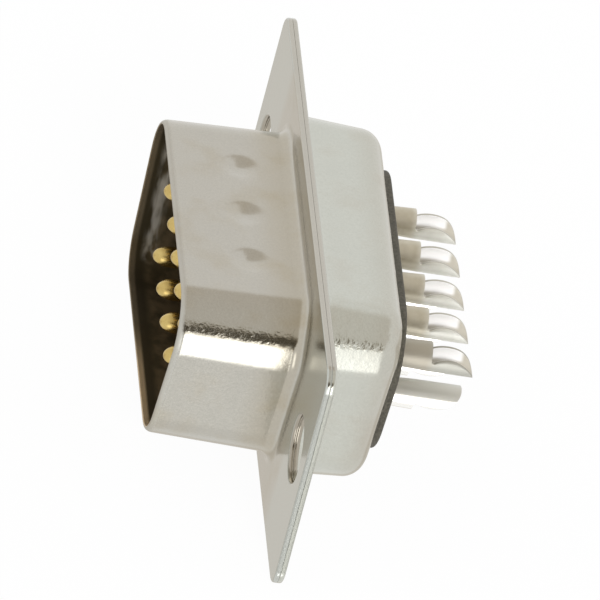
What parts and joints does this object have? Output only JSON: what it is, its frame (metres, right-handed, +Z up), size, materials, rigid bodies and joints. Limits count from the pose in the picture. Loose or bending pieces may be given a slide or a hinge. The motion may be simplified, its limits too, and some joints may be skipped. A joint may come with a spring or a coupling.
{
  "type": "d-sub connector",
  "caption": "D-shaped plug connector with a drawn metal shell and a flange with fixing holes: round pins inside the front collar and open solder cups at the back.",
  "frame": {"origin": "middle of the flange's front face, half way between its two fixing holes", "axes": "+X along the flange from contact 1 to contact 5, +Y from the mating side to the wires, +Z up to the D's wide side"},
  "size_m": [0.0308, 0.015, 0.0126],
  "materials": {
    "shell": "bright tin or nickel plate",
    "insulator": "black moulded",
    "contact": "gold-plated pin, bright tinned cup"
  },
  "bodies": {
    "root": {"front_shell": "shell", "rear_shell": "shell", "front_insulator": "insulator", "rear_insulator": "insulator", "contact_1": "contact", "contact_2": "contact", "contact_3": "contact", "contact_4": "contact", "contact_5": "contact", "contact_6": "contact", "contact_7": "contact", "contact_8": "contact", "contact_9": "contact"}
  },
  "joints": []
}
